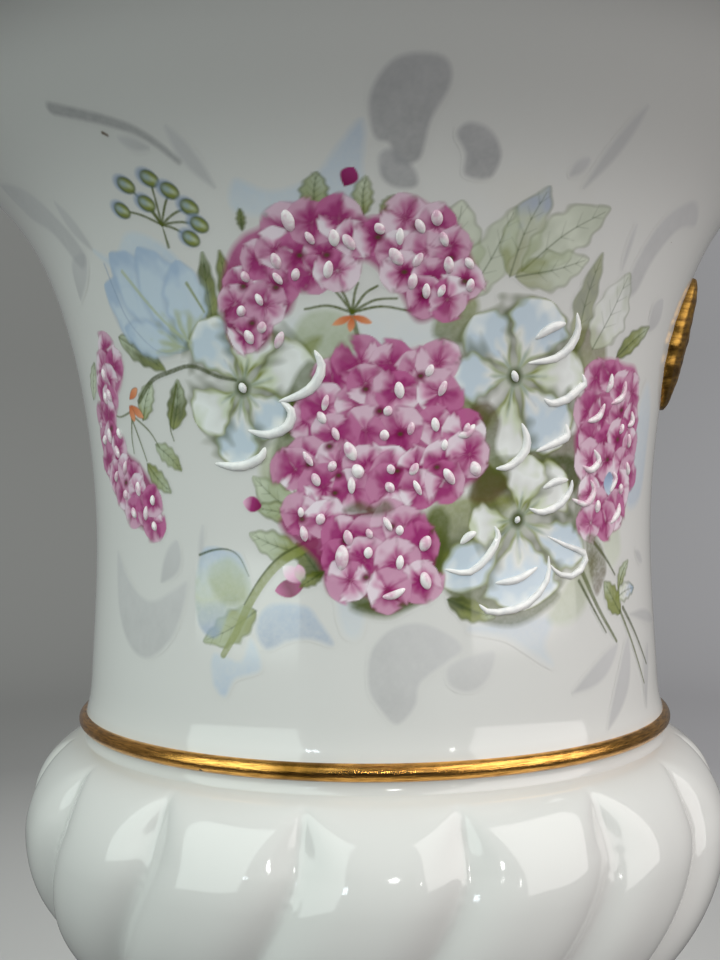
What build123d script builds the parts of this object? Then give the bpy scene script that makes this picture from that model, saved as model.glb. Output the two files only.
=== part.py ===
from build123d import *
import os
from math import cos, radians, sin

os.makedirs("parts", exist_ok=True)

# A bell-shaped porcelain urn: a body, a foot and a square plinth, clamped by one tie bolt.
# Millimetres. +Z is up, and the origin is on the axis, on the surface that the urn stands on.

# Driving dimensions
bead_radius = 64.0  # outside of the gilt bead at the waist
bead_z = 150.0  # height of the bead's middle
bead_height = 3.2
lip_z = 278.5  # height of the lip
lip_radius = 99.5  # to the middle of the lip's half-round edge
crest_radius = 75.1  # widest circle of the lobed belly, over the crests of the lobes
lobe_count = 16
foot_radius = 44.0
plinth_side = 102.0
plinth_height = 18.0
bolt_radius = 3.0

# Bell, above the waist bead
land_radius = bead_radius - 1.5  # the plain land that carries the bead
land_low = bead_z - bead_height / 2
land_high = bead_z + bead_height / 2
bell_outline = [  # radius, and height above the bead
    (61.3, 10.0),
    (60.2, 38.0),
    (61.7, 60.0),
    (65.9, 81.5),
    (74.4, 101.5),
    (87.0, 115.5),
]
throat_radius = 58.0  # inside of the body at the waist bead
bell_lining = [(56.2, 36.0), (57.7, 61.0), (71.0, 103.6)]  # the inside, from the waist up
lip_height = 3.4  # of the lip's half-round edge
flare_points = [
    (land_radius, land_high),
    *[(radius, bead_z + height) for radius, height in bell_outline],
    (lip_radius, lip_z - lip_height),
]
flare_tangents = [(-0.35, 1), (1, 0.45)]

# Belly, below the waist bead: two elliptic quadrants that meet at its widest circle
crest_z = bead_z - 21.0
shoulder_width, shoulder_rise = 16.0, 17.5
basin_width, basin_drop = 71.0, 49.2
lobe_end_angle = 76.0  # the belly ends this far down the basin quadrant, in degrees
crease_share = 0.05  # depth of a crease over the radius of the crests
swirl_top = crest_z + 6.0  # the creases lean below this height
swirl_turn = 28.0  # degrees that they turn by, down to the body's bottom
lobe_phase = 12.0  # degrees from the front to the middle of a lobe

# What clamps the castings together
gasket = 0.8
washer = 1.2
head_height = 4.0
nut_height = 5.0
hex_radius = 5.5  # bolt head and nut, across corners
bolt_hole = bolt_radius + 1.0
floor_thickness = 7.0
deck = 5.0  # the solid tops of the foot and the plinth


def shoulder(angle):
    """Radius and height on the belly, above its widest circle."""
    radius = crest_radius - shoulder_width * (1 - cos(radians(angle)))
    return radius, crest_z + shoulder_rise * sin(radians(angle))


def basin(angle):
    """Radius and height on the belly, below its widest circle."""
    radius = crest_radius - basin_width * (1 - cos(radians(angle)))
    return radius, crest_z - basin_drop * sin(radians(angle))


def around(angle, radius):
    """A point on a level plane, where the angle runs from the front, -Y, towards +X."""
    return radius * sin(radians(angle)), -radius * cos(radians(angle))


body_bottom = basin(lobe_end_angle)[1]
foot_top = body_bottom - gasket
body_floor = body_bottom + floor_thickness


belly_lining = [  # radius and height of the belly's inside, which is plain
    (throat_radius, land_low - 2.0),
    (66.8, crest_z),
    (62.0, crest_z - 20.0),
    (34.0, body_floor),
]


def lobe_arcs(radius, z, depth):
    """Crease, crest and crease of each lobe on one level of the belly."""
    fall = max(0.0, (swirl_top - z) / (swirl_top - body_bottom))
    start = lobe_phase - swirl_turn * fall**1.25
    pitch = 360 / lobe_count
    for k in range(lobe_count):
        angle = start + k * pitch
        yield (
            around(angle - pitch / 2, radius - depth),
            around(angle, radius),
            around(angle + pitch / 2, radius - depth),
        )


# Body: the lobed belly and the flared bell, one hollow casting
with BuildPart() as body:
    # The belly is plain near the bead, and its lobes swell from the shoulder down
    levels = [(land_radius - 0.3, land_low, 0.01)]
    levels += [(*shoulder(a), share) for a, share in [(72, 0.03), (58, 0.15), (44, 0.45)]]
    levels += [(*shoulder(a), share) for a, share in [(30, 0.8), (15, 0.96)]]
    levels += [(*basin(a), 1.0) for a in (0, 10, 20, 30, 40, 50, 60, 70, lobe_end_angle)]
    for radius, z, share in levels:
        with BuildSketch(Plane.XY.offset(z)):
            with BuildLine():
                for arc in lobe_arcs(radius, z, crease_share * radius * share):
                    Spline(*arc)
            make_face()
    loft()
    with BuildSketch(Plane.XZ):
        with BuildLine():
            upper = ThreePointArc(*belly_lining[:3])
            TangentArc(upper @ 1, belly_lining[3], tangent=upper % 1)
            Polyline(
                belly_lining[-1],
                (0, body_floor),
                (0, bead_z + 10),
                (throat_radius, bead_z + 10),
                belly_lining[0],
            )
        make_face()
    revolve(axis=Axis.Z, mode=Mode.SUBTRACT)
    with Locations((0, 0, body_bottom)):
        Cylinder(bolt_hole, 4 * floor_thickness, mode=Mode.SUBTRACT)

    with BuildSketch(Plane.XZ):
        with BuildLine():
            flare = Spline(*flare_points, tangents=flare_tangents)
            low, middle, high = [(r, bead_z + h) for r, h in bell_lining]
            waist_arc = ThreePointArc((throat_radius, land_high), low, middle)
            neck_arc = TangentArc(middle, high, tangent=waist_arc % 1)
            mouth_arc = TangentArc(high, (lip_radius, lip_z), tangent=neck_arc % 1)
            ThreePointArc(
                flare @ 1,
                (lip_radius + lip_height / 2, lip_z - lip_height / 2),
                mouth_arc @ 1,
            )
            Polyline(
                waist_arc @ 0,
                (throat_radius, land_low),
                (land_radius, land_low),
                flare @ 0,
            )
        make_face()
    revolve(axis=Axis.Z)

body.part.label = "body"
export_step(body.part, "parts/body.step")

# Ornaments: one gilt leaf palmette on each side, its ribs fanned out from the tip at its foot
leaf_foot = bead_z + 64.0
leaf_ribs = [  # angle from upright, length, radius, how far the rib's middle stands off the wall
    (0, 29.0, 3.2, 0.4),
    (12, 27.0, 2.6, 0.3),
    (24, 23.0, 2.2, 0.1),
    (38, 17.5, 1.9, 0.0),
]
leaf_root = 1.5  # the side ribs start this much further out than the middle one
leaf_lean = 13.0  # degrees that the palmette leans out, to follow the flare
wall_at_leaf = 61.9  # the bell's radius at the foot of the leaf

with BuildPart() as bell_fill:
    with BuildSketch(Plane.XZ):
        with BuildLine():
            Spline(*flare_points, tangents=flare_tangents)
            Polyline(
                flare_points[-1],
                (0, lip_z - lip_height),
                (0, land_high),
                flare_points[0],
            )
        make_face()
    revolve(axis=Axis.Z)

leaf_out = Vector(cos(radians(leaf_lean)), 0, -sin(radians(leaf_lean)))
leaf_up = Vector(sin(radians(leaf_lean)), 0, cos(radians(leaf_lean)))
fan = [(side * rib[0], *rib[1:]) for rib in leaf_ribs for side in (-1, 1)][1:]
with BuildPart() as right_ornament:
    for angle, length, radius, proud in fan:
        along = leaf_up * cos(radians(angle)) + Vector(0, 1, 0) * sin(radians(angle))
        root = Vector(wall_at_leaf, 0, leaf_foot) + leaf_out * proud
        middle = root + along * (length / 2 + (leaf_root if angle else 0))
        with BuildSketch(Plane(origin=middle, x_dir=along, z_dir=leaf_out)):
            Ellipse(length / 2, radius)
            Rectangle(length, radius, align=(Align.CENTER, Align.MAX), mode=Mode.SUBTRACT)
        revolve(axis=Axis(middle, along))
    add(bell_fill.part, mode=Mode.SUBTRACT)
right_ornament.part.label = "right_ornament"
export_step(right_ornament.part, "parts/right_ornament.step")

with BuildPart() as left_ornament:
    add(right_ornament.part)
    mirror(about=Plane.YZ, mode=Mode.REPLACE)
left_ornament.part.label = "left_ornament"
export_step(left_ornament.part, "parts/left_ornament.step")

# Foot: a solid deck under the body, a slim stem and a hollow round foot
stem_radius = 12.5
knop_z = foot_top - 13.0  # middle of the stem's gilt bead
knop_land = 14.5
knop_height = 4.4
collar_radius = 20.0
foot_wall = 4.5
hoop_height = 3.2  # the gilt hoop round the foot
hoop_bulge = 1.2
foot_land_low = plinth_height + 1.4
with BuildPart() as foot:
    with BuildSketch(Plane.XZ):
        with BuildLine():
            collar = ThreePointArc(
                (collar_radius - 1.2, foot_top),
                (collar_radius, foot_top - 1.6),
                (collar_radius - 1.2, foot_top - 3.2),
            )
            cove = Spline(
                collar @ 1,
                (knop_land - 0.7, foot_top - 7.0),
                (knop_land, knop_z + knop_height / 2),
                tangents=[(-1, -0.2), (0.15, -1)],
            )
            Line(cove @ 1, (knop_land, knop_z - knop_height / 2))
            trumpet = Spline(
                (knop_land, knop_z - knop_height / 2),
                (stem_radius, knop_z - 9.0),
                (stem_radius + 3.0, plinth_height + 21.0),
                (foot_radius * 0.6, plinth_height + 11.5),
                (foot_radius - 3.0, plinth_height + 7.5),
                tangents=[(-0.5, -1), (1, -0.1)],
            )
            toe = Polyline(
                trumpet @ 1,
                (foot_radius - 3.0, plinth_height + 6.4),
                (foot_radius, foot_land_low + hoop_height),
                (foot_radius, foot_land_low),
                (foot_radius - 1.4, plinth_height),
            )
            inside = Spline(
                (foot_radius - foot_wall - 3.0, plinth_height),
                (foot_radius * 0.6 - foot_wall, plinth_height + 7.0),
                (stem_radius - 3.5, plinth_height + 20.0),
                (stem_radius - 5.0, knop_z - 9.0),
                (stem_radius - 5.0, foot_top - 2 * deck),
                tangents=[(-0.6, 1), (0, 1)],
            )
            Line(toe @ 1, inside @ 0)
            Polyline(
                inside @ 1,
                (bolt_hole, foot_top - 2 * deck),
                (bolt_hole, foot_top),
                collar @ 0,
            )
        make_face()
    revolve(axis=Axis.Z)
foot.part.label = "foot"
export_step(foot.part, "parts/foot.step")

# Gilt half-round hoops, each on a plain land: name, land radius, low, high, bulge
hoops = [
    ("waist_bead", land_radius, land_low, land_high, bead_radius - land_radius),
    ("stem_bead", knop_land, knop_z - knop_height / 2, knop_z + knop_height / 2, 2.0),
    ("foot_hoop", foot_radius, foot_land_low, foot_land_low + hoop_height, hoop_bulge),
]
for name, radius, low, high, bulge in hoops:
    with BuildPart() as hoop:
        with BuildSketch(Plane.XZ):
            with BuildLine():
                ThreePointArc((radius, low), (radius + bulge, (low + high) / 2), (radius, high))
                Line((radius, high), (radius, low))
            make_face()
        revolve(axis=Axis.Z)
    hoop.part.label = name
    export_step(hoop.part, f"parts/{name}.step")

# Plinth: a square hollow box with a solid deck and a small step under its top
step_height = 3.0
step_inset = 2.5
plinth_wall = 6.0
edge_round = 1.0
with BuildPart() as plinth:
    Box(
        plinth_side,
        plinth_side,
        plinth_height - step_height,
        align=(Align.CENTER, Align.CENTER, Align.MIN),
    )
    fillet(plinth.edges().filter_by(Axis.Z), 2 * edge_round)
    fillet(plinth.faces().sort_by(Axis.Z)[-1].edges(), edge_round)
    with BuildSketch(Plane.XY.offset(plinth_height - step_height)):
        RectangleRounded(
            plinth_side - 2 * step_inset,
            plinth_side - 2 * step_inset,
            2 * edge_round,
        )
    extrude(amount=step_height)
    fillet(plinth.faces().sort_by(Axis.Z)[-1].edges(), edge_round)
    with BuildSketch(Plane.XY):
        RectangleRounded(
            plinth_side - 2 * plinth_wall,
            plinth_side - 2 * plinth_wall,
            plinth_wall,
        )
    extrude(amount=plinth_height - deck, mode=Mode.SUBTRACT)
    Cylinder(bolt_hole, 3 * plinth_height, mode=Mode.SUBTRACT)
plinth.part.label = "plinth"
export_step(plinth.part, "parts/plinth.step")


# Tie bolt: its head stands on a washer and a gasket inside the body, its nut is under the plinth
upper_stack = body_floor + gasket + washer
lower_stack = plinth_height - deck - gasket - washer
bolt_end = lower_stack - nut_height - 3.0
with BuildPart() as tie_bolt:
    with BuildSketch(Plane.XY.offset(upper_stack)):
        RegularPolygon(hex_radius, 6)
    extrude(amount=head_height)
    chamfer(tie_bolt.faces().sort_by(Axis.Z)[-1].edges(), 0.5)
    with BuildSketch(Plane.XY.offset(bolt_end)):
        Circle(bolt_radius)
    extrude(amount=upper_stack - bolt_end)
    chamfer(tie_bolt.faces().sort_by(Axis.Z)[0].edges(), 0.6)
tie_bolt.part.label = "tie_bolt"
export_step(tie_bolt.part, "parts/tie_bolt.step")

with BuildPart() as nut:
    with BuildSketch(Plane.XY.offset(lower_stack - nut_height)):
        RegularPolygon(hex_radius, 6)
        Circle(bolt_radius, mode=Mode.SUBTRACT)
    extrude(amount=nut_height)
nut.part.label = "nut"
export_step(nut.part, "parts/nut.step")

# Flat rings of the stack: name, outer radius, hole radius, underside, thickness
rings = [
    ("seat_gasket", collar_radius - 2.0, bolt_hole + 1.0, foot_top, gasket),
    ("upper_gasket", 14.0, bolt_hole, body_floor, gasket),
    ("upper_washer", 13.0, bolt_hole - 0.6, body_floor + gasket, washer),
    ("lower_gasket", 14.0, bolt_hole, plinth_height - deck - gasket, gasket),
    ("lower_washer", 13.0, bolt_hole - 0.6, lower_stack, washer),
]
for name, outer, inner, z, thickness in rings:
    with BuildPart() as ring:
        with BuildSketch(Plane.XY.offset(z)):
            Circle(outer)
            Circle(inner, mode=Mode.SUBTRACT)
        extrude(amount=thickness)
    ring.part.label = name
    export_step(ring.part, f"parts/{name}.step")
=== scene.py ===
"""Looks of a bell-shaped porcelain urn: glaze, lobed belly, painted bouquet, raised enamel and gilding."""
from math import cos, hypot, log, pi, radians, sin

import bpy
import numpy as np
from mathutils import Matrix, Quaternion, Vector


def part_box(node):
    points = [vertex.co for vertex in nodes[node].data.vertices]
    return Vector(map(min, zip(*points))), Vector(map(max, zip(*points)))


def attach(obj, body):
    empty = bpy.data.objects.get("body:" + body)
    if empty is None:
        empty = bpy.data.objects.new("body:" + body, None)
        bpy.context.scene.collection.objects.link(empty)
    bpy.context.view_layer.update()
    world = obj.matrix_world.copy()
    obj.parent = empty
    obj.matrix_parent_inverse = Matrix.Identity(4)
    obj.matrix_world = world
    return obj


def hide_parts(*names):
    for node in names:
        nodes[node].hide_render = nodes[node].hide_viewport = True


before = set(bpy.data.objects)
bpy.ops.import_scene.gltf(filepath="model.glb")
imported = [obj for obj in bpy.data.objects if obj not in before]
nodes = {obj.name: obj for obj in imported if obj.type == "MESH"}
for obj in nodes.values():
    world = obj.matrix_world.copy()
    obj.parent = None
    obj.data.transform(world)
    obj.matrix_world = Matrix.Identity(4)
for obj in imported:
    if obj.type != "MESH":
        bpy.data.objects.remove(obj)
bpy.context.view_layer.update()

MM = 0.001  # lengths below are in millimetres unless a name says otherwise

# ---------------------------------------------------------------- sizes, from the frame
bead_low, bead_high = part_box("waist_bead")
bead_z = (bead_low.z + bead_high.z) / 2 / MM
bead_height = (bead_high.z - bead_low.z) / MM
land_radius = bead_high.x / MM - 1.5
land_low = bead_z - bead_height / 2
land_high = bead_z + bead_height / 2
body_low, body_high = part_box("body")
lip_z = body_high.z / MM
lip_height = 3.4  # of the lip's half-round edge
lip_radius = body_high.x / MM - lip_height / 2
body_bottom = body_low.z / MM

# Bell: radius, and height above the bead
bell_outline = [(61.3, 10.0), (60.2, 38.0), (61.7, 60.0), (65.9, 81.5), (74.4, 101.5), (87.0, 115.5)]
bell_lining = [(56.2, 36.0), (57.7, 61.0), (71.0, 103.6)]
throat_radius = 58.0

# Belly: two elliptic quadrants that meet at its widest circle
crest_radius = 75.1
crest_z = bead_z - 21.0
shoulder_width, shoulder_rise = 16.0, 17.5
basin_width, basin_drop = 71.0, 49.2
lobe_end_angle = 76.0
lobe_count = 16
lobe_phase = 12.0
crease_share = 0.05
swirl_top = crest_z + 6.0
swirl_turn = 28.0
floor_z = body_bottom + 7.0
bolt_hole = 4.0

# Painting: s runs round the bell from its painted middle, measured at paint_radius; h is above the bead
camera_azimuth = 11.0
paint_radius = 61.0


def clamped_spline(points, first_slope, last_slope):
    """Cubic spline y(x) through the points, with these slopes at its ends: returns value(x)."""
    x, y = np.array(points, float).T
    count, gap = len(x), np.diff(x)
    system = np.eye(count)
    known = np.zeros(count)
    known[0], known[-1] = first_slope, last_slope
    for i in range(1, count - 1):
        system[i, i - 1 : i + 2] = 1 / gap[i - 1], 2 / gap[i - 1] + 2 / gap[i], 1 / gap[i]
        known[i] = 3 * ((y[i] - y[i - 1]) / gap[i - 1] ** 2 + (y[i + 1] - y[i]) / gap[i] ** 2)
    slopes = np.linalg.solve(system, known)

    def value(at):
        k = np.clip(np.searchsorted(x, at) - 1, 0, count - 2)
        t = (at - x[k]) / gap[k]
        return (
            y[k] * (1 + 2 * t) * (1 - t) ** 2
            + y[k + 1] * t**2 * (3 - 2 * t)
            + gap[k] * (slopes[k] * t * (1 - t) ** 2 - slopes[k + 1] * t**2 * (1 - t))
        )

    return value


def curve_along(points, first_tangent, last_tangent):
    """A smooth profile through (radius, height) points, spaced by distance: returns its points, densely."""
    p = np.array(points, float)
    run = np.concatenate([[0], np.cumsum(np.hypot(*np.diff(p, axis=0).T))])
    first = np.array(first_tangent) / hypot(*first_tangent)
    last = np.array(last_tangent) / hypot(*last_tangent)
    at = np.linspace(0, run[-1], 2400)
    axes = [clamped_spline(list(zip(run, p[:, k])), first[k], last[k])(at) for k in (0, 1)]
    return np.stack(axes, axis=1)


bell_curve = curve_along(
    [(land_radius, land_high - bead_z), *bell_outline, (lip_radius, lip_z - lip_height - bead_z)],
    (-0.35, 1),
    (1, 0.45),
)
lining_curve = curve_along(
    [(throat_radius, land_low - bead_z), *bell_lining, (lip_radius, lip_z - bead_z)], (-0.1, 1), (1, 0.4)
)
belly_lining = [(throat_radius, land_low - 2.0), (66.8, crest_z), (62.0, crest_z - 20.0), (34.0, floor_z)]
belly_lining_curve = curve_along(belly_lining, (1, -0.9), (-1, -0.45))


def bell_radius(h):
    """The bell's outer radius at a height above the bead."""
    return np.interp(h, bell_curve[:, 1], bell_curve[:, 0])


def on_bell(s, h, lift=0.0):
    """Points in metres on the bell's outside, at painting coordinates s and h, lifted off it by lift."""
    s, h = np.broadcast_arrays(np.asarray(s, float), np.asarray(h, float))
    step = 0.05
    slope = (bell_radius(h + step) - bell_radius(h - step)) / (2 * step)
    size = np.sqrt(1 + slope**2)
    angle = radians(camera_azimuth) + s / paint_radius
    radius = bell_radius(h) + lift / size
    z = bead_z + h - lift * slope / size
    return np.stack([radius * np.sin(angle), -radius * np.cos(angle), z], axis=-1) * MM


def mesh_piece(name, points, faces, smooth=True):
    """A new mesh piece that rides on the urn's only body."""
    mesh = bpy.data.meshes.new(name)
    mesh.from_pydata(np.asarray(points).reshape(-1, 3).tolist(), [], faces)
    mesh.polygons.foreach_set("use_smooth", [smooth] * len(mesh.polygons))
    mesh.update()
    piece = bpy.data.objects.new(name, mesh)
    bpy.context.scene.collection.objects.link(piece)
    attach(piece, "root")
    return piece


def ring_faces(rows, columns, closed):
    """Quads of a grid whose columns run round the axis; closed joins its last row to its first."""
    faces = []
    for i in range(rows if closed else rows - 1):
        low, high = i * columns, (i + 1) % rows * columns
        for j in range(columns):
            k = (j + 1) % columns
            faces.append((low + j, low + k, high + k, high + j))
    return faces


# ---------------------------------------------------------------- body: lobed belly and flared bell
def belly_rows(angle):
    """Radius and height on the belly before its lobes; 90 is the shoulder, 0 the widest circle."""
    if angle >= 0:
        return (
            crest_radius - shoulder_width * (1 - cos(radians(angle))),
            crest_z + shoulder_rise * sin(radians(angle)),
        )
    return (
        crest_radius - basin_width * (1 - cos(radians(angle))),
        crest_z + basin_drop * sin(radians(angle)),
    )


def smooth_step(low, high, value):
    t = np.clip((value - low) / (high - low), 0, 1)
    return t * t * (3 - 2 * t)


def lobe_cut(radius, z, level, turn):
    """How far the surface lies inside the plain belly, for every angle in turn, in degrees from the front."""
    fall = max(0.0, (swirl_top - z) / (swirl_top - body_bottom))
    pitch = 360 / lobe_count
    across = (turn - lobe_phase + swirl_turn * fall**1.25) / pitch
    u = 2 * np.abs(across - np.round(across))
    valley = u**3 - 0.12 * smooth_step(0.88, 1.0, u)
    start = 46 + 22 * u**2  # the lobes' tops are arches: a crease reaches higher than a crest
    ramp = 1 - smooth_step(start - 34, start + 4, level)
    return crease_share * radius * valley * ramp


def make_body():
    columns = 30 * lobe_count
    turn = np.arange(columns) * 360 / columns
    rings = [(bolt_hole, body_bottom)]
    for angle in np.linspace(-lobe_end_angle, 78, 84):
        radius, z = belly_rows(angle)
        rings.append((radius - lobe_cut(radius, z, angle, turn), z))
    rings += [(land_radius - 0.05, land_low - 0.15), (land_radius - 0.02, land_low)]
    for radius, h in bell_curve[np.linspace(0, len(bell_curve) - 1, 72).astype(int)]:
        rings.append((radius, bead_z + h))
    edge = lip_height / 2
    for angle in np.radians(np.linspace(-75, 75, 9)):
        rings.append((lip_radius + edge * cos(angle), lip_z - edge + edge * sin(angle)))
    for radius, h in lining_curve[np.linspace(len(lining_curve) - 1, 0, 30).astype(int)]:
        rings.append((radius, bead_z + h))
    rings += list(belly_lining_curve[np.linspace(0, len(belly_lining_curve) - 1, 20).astype(int)])
    rings.append((bolt_hole, floor_z))
    points = np.zeros((len(rings), columns, 3))
    for row, (radius, z) in enumerate(rings):
        points[row, :, 0] = radius * np.sin(np.radians(turn))
        points[row, :, 1] = -radius * np.cos(np.radians(turn))
        points[row, :, 2] = z
    body = mesh_piece("porcelain_body", points * MM, ring_faces(len(rings), columns, True))
    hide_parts("body")
    return body


# ---------------------------------------------------------------- gilt palmettes, one on each side
leaf_foot, leaf_length, leaf_width = 64.0, 28.0, 21.0
leaf_relief, leaf_root = 3.0, 0.4


def make_palmette(name, side):
    """A leaf in relief: ribs fan out from its foot, its edge is notched, and its sides are steep."""
    turn = np.arange(96) * 2 * pi / 96
    along = np.linspace(0.01, 0.99, 90)[:, None]
    across = np.cos(turn)[None, :]
    outline = np.sin(pi * along**0.75) ** 0.65
    notches = 1 + 0.03 * np.cos(2 * pi * 6.5 * along)
    ribs = 0.95 + 0.05 * np.cos(2 * pi * 3 * across)
    barbs = 1 + 0.022 * np.cos(2 * pi * (6.5 * along - 1.4 * np.abs(across))) + 0.02 * np.cos(23 * along)
    relief = leaf_relief * np.sin(pi * along) ** 0.4 * (1 - across**6) ** 0.5 * ribs * barbs
    s = paint_radius * radians(90 * side - camera_azimuth) + leaf_width / 2 * outline * notches * across
    h = leaf_foot + leaf_length * along
    points = on_bell(s, h, np.where(np.sin(turn) > 0, relief, -leaf_root * np.abs(np.sin(turn))))
    faces = ring_faces(len(along), len(turn), False)
    faces.append(tuple(range(len(turn)))[::-1])
    faces.append(tuple(range(len(turn) * (len(along) - 1), len(turn) * len(along))))
    palmette = mesh_piece(name, points, faces)
    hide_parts(name.replace("palmette", "ornament"))
    return palmette


# ---------------------------------------------------------------- paint
def linear(rgb):
    """Linear values of an sRGB colour given from 0 to 255."""
    c = np.asarray(rgb, float) / 255
    return np.where(c <= 0.04045, c / 12.92, ((c + 0.055) / 1.055) ** 2.4)


glaze_white = np.array([0.73, 0.73, 0.715])
white_seen = linear((205, 205, 201))  # how the bare glaze looks beside the colours below


def paint(*rgb):
    """Albedo of a colour that is named by how it looks beside the glaze."""
    return np.clip(linear(rgb) / white_seen * glaze_white, 0, 0.95)


DEEP = paint(118, 18, 72)
MAGENTA = paint(150, 48, 108)
PINK = paint(178, 92, 140)
BLUSH = paint(222, 176, 200)
BLOSSOM = paint(242, 222, 230)
ENAMEL = paint(238, 236, 234)
OLIVE = paint(124, 132, 62)
MOSS = paint(78, 88, 30)
FOREST = paint(60, 70, 18)
SAGE = paint(168, 178, 150)
PALE_GREEN = paint(196, 204, 180)
SKY = paint(158, 178, 200)
PALE_BLUE = paint(188, 202, 212)
SLATE = paint(128, 146, 172)
SHADE = paint(158, 158, 160)
BROWN = paint(88, 68, 44)
ORANGE = paint(192, 100, 56)
OUTLINE = paint(56, 72, 34)
PAPER = paint(214, 216, 212)
PETAL = paint(226, 229, 226)

grid_step = 0.2
s_line = np.arange(-84, 84 + grid_step / 2, grid_step)
h_line = np.arange(2.4, 116.0, grid_step)
rgb_layer = np.tile(glaze_white, (len(h_line), len(s_line), 1))
ink_layer = np.zeros((len(h_line), len(s_line)))


def mottle(size, seed):
    """Smooth noise from 0 to 1 over the whole canvas, with spots about this size."""
    random = np.random.RandomState(seed)
    x = (s_line - s_line[0]) / size
    y = (h_line - h_line[0]) / size
    knots = random.rand(int(y[-1]) + 2, int(x[-1]) + 2)
    i, j = y.astype(int), x.astype(int)
    fy, fx = (y - i)[:, None], (x - j)[None, :]
    fy, fx = fy * fy * (3 - 2 * fy), fx * fx * (3 - 2 * fx)
    top = knots[i + 1][:, j] * (1 - fx) + knots[i + 1][:, j + 1] * fx
    low = knots[i][:, j] * (1 - fx) + knots[i][:, j + 1] * fx
    return low * (1 - fy) + top * fy


fine = 0.5 * mottle(0.35, 1) + 0.5 * mottle(0.7, 2)  # the stipple of a printed colour
cloud = 0.6 * mottle(3.0, 3) + 0.4 * mottle(1.4, 4)


class Patch:
    """The part of the canvas near a mark."""

    def __init__(self, s_low, s_high, h_low, h_high):
        self.rows = slice(*np.searchsorted(h_line, (h_low, h_high)))
        self.columns = slice(*np.searchsorted(s_line, (s_low, s_high)))
        self.s, self.h = np.meshgrid(s_line[self.columns], h_line[self.rows])
        self.fine = fine[self.rows, self.columns]
        self.cloud = cloud[self.rows, self.columns]

    def lay(self, cover, colour):
        ink = ink_layer[self.rows, self.columns]
        rgb = rgb_layer[self.rows, self.columns]
        total = cover + ink * (1 - cover)
        mixed = colour * cover[..., None] + rgb * (ink * (1 - cover))[..., None]
        rgb_layer[self.rows, self.columns] = np.where(
            total[..., None] > 1e-4, mixed / np.maximum(total, 1e-4)[..., None], rgb
        )
        ink_layer[self.rows, self.columns] = total


def blend(colours, t):
    """The colour at t, from 0 to 1, along a list of colours."""
    at = np.clip(t, 0, 1) * (len(colours) - 1)
    low = np.minimum(at.astype(int), len(colours) - 2)
    share = (at - low)[..., None]
    table = np.array(colours)
    return table[low] * (1 - share) + table[low + 1] * share


def petal(base, tip, width, colours, widest=0.6, rim=None, rim_width=0.35, veins=0.0, soft=0.3,
          strength=1.0, jag=0.0, bow=0.0, clouded=0.22):
    """A petal or leaf from base to tip. Its colours run from base to tip, and rim is the colour of its edge.

    jag roughens the outline, and clouded mottles the colours.
    """
    (bx, by), (tx, ty) = base, tip
    length = hypot(tx - bx, ty - by)
    reach = width + 1
    area = Patch(min(bx, tx) - reach, max(bx, tx) + reach, min(by, ty) - reach, max(by, ty) + reach)
    ux, uy = (tx - bx) / length, (ty - by) / length
    along = ((area.s - bx) * ux + (area.h - by) * uy) / length
    across = (area.h - by) * ux - (area.s - bx) * uy
    along_in = np.clip(along, 0, 1)
    across = across - bow * np.sin(pi * along_in)
    shape = np.sin(pi * along_in ** (log(0.5) / log(widest))) ** 0.75
    half = width / 2 * shape * (1 + jag * (np.sin(along_in * 26 + across * 0.8) + 4 * (area.cloud - 0.5)))
    inside = half - np.abs(across)
    cover = np.clip(inside / soft + 0.5, 0, 1) * ((along > 0) & (along < 1))
    tone = along_in + clouded * (area.cloud - 0.5)
    if veins:
        fan = across / np.maximum(half, 0.3)
        tone = tone - veins * (0.5 + 0.5 * np.cos(fan * 9 + area.cloud * 2)) * (1 - along_in)
    colour = blend(colours, tone)
    if rim is not None:
        patchy = np.clip(0.2 + 1.2 * area.cloud, 0, 0.9)
        edge = (np.clip(1 - inside / rim_width, 0, 1) * patchy)[..., None]
        colour = colour * (1 - edge) + rim * edge
    area.lay(cover * strength, colour)


def curve_points(points, parts=8, closed=False):
    """Points along a smooth curve through the given ones."""
    p = np.array(points, float)
    if closed:
        p = np.vstack([p[-1], p, p[:2]])
    else:
        p = np.vstack([2 * p[0] - p[1], p, 2 * p[-1] - p[-2]])
    out = []
    for a, b, c, d in zip(p, p[1:], p[2:], p[3:]):
        for t in np.arange(parts) / parts:
            cubic = 3 * b - a - 3 * c + d
            out.append(0.5 * (2 * b + (c - a) * t + (2 * a - 5 * b + 4 * c - d) * t**2 + cubic * t**3))
    if not closed:
        out.append(p[-2])
    return np.array(out)


def stroke(points, width, colour, taper=0.3, strength=1.0, soft=0.25):
    """A brush line. taper is the share of the width left at its end."""
    line = curve_points(points, 6)
    low, high = line.min(axis=0) - width - 0.5, line.max(axis=0) + width + 0.5
    area = Patch(low[0], high[0], low[1], high[1])
    cover = np.zeros_like(area.s)
    count = len(line) - 1
    for k, (a, b) in enumerate(zip(line, line[1:])):
        d = b - a
        t = np.clip(((area.s - a[0]) * d[0] + (area.h - a[1]) * d[1]) / max(d @ d, 1e-9), 0, 1)
        away = np.hypot(area.s - a[0] - t * d[0], area.h - a[1] - t * d[1])
        half = width / 2 * (1 - (1 - taper) * (k + t) / count)
        cover = np.maximum(cover, np.clip((half - away) / soft + 0.5, 0, 1))
    area.lay(cover * strength * (0.85 + 0.3 * (area.fine - 0.5)), colour)


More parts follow.
